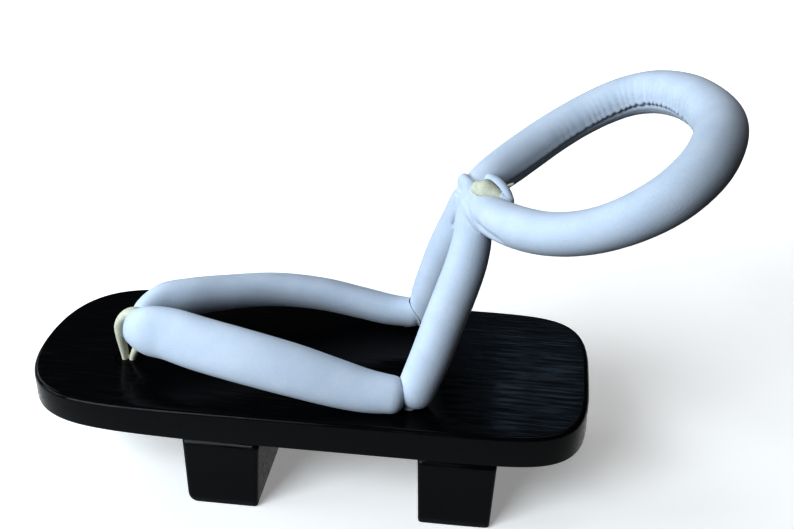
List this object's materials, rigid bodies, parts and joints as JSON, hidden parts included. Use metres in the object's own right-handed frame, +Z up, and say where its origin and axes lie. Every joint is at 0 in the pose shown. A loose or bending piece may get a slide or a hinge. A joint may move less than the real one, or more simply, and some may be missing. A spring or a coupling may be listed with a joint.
{
  "type": "geta sandal",
  "caption": "Raised wooden sandal for the right foot: lacquered board on cross teeth, padded thong with a toe cord, and padded straps rising to an ankle ring.",
  "frame": {"origin": "on the floor, under the middle of the whole sandal's box", "axes": "+X towards the toe, +Y to the wearer's left, +Z up"},
  "size_m": [0.2896, 0.1194, 0.1724],
  "materials": {
    "lacquer": "glossy black lacquer over wood, faint lengthwise grain in its reflections",
    "white_cloth": "white brushed cotton, stuffed, with a soft nap",
    "cream_cord": "cream twisted cotton cord"
  },
  "bodies": {
    "root": {"board": "lacquer", "front_tooth": "lacquer", "rear_tooth": "lacquer", "thong_strap": "white_cloth", "toe_loop": "cream_cord", "ankle_strap": "white_cloth", "ankle_tie": "cream_cord"}
  },
  "joints": []
}
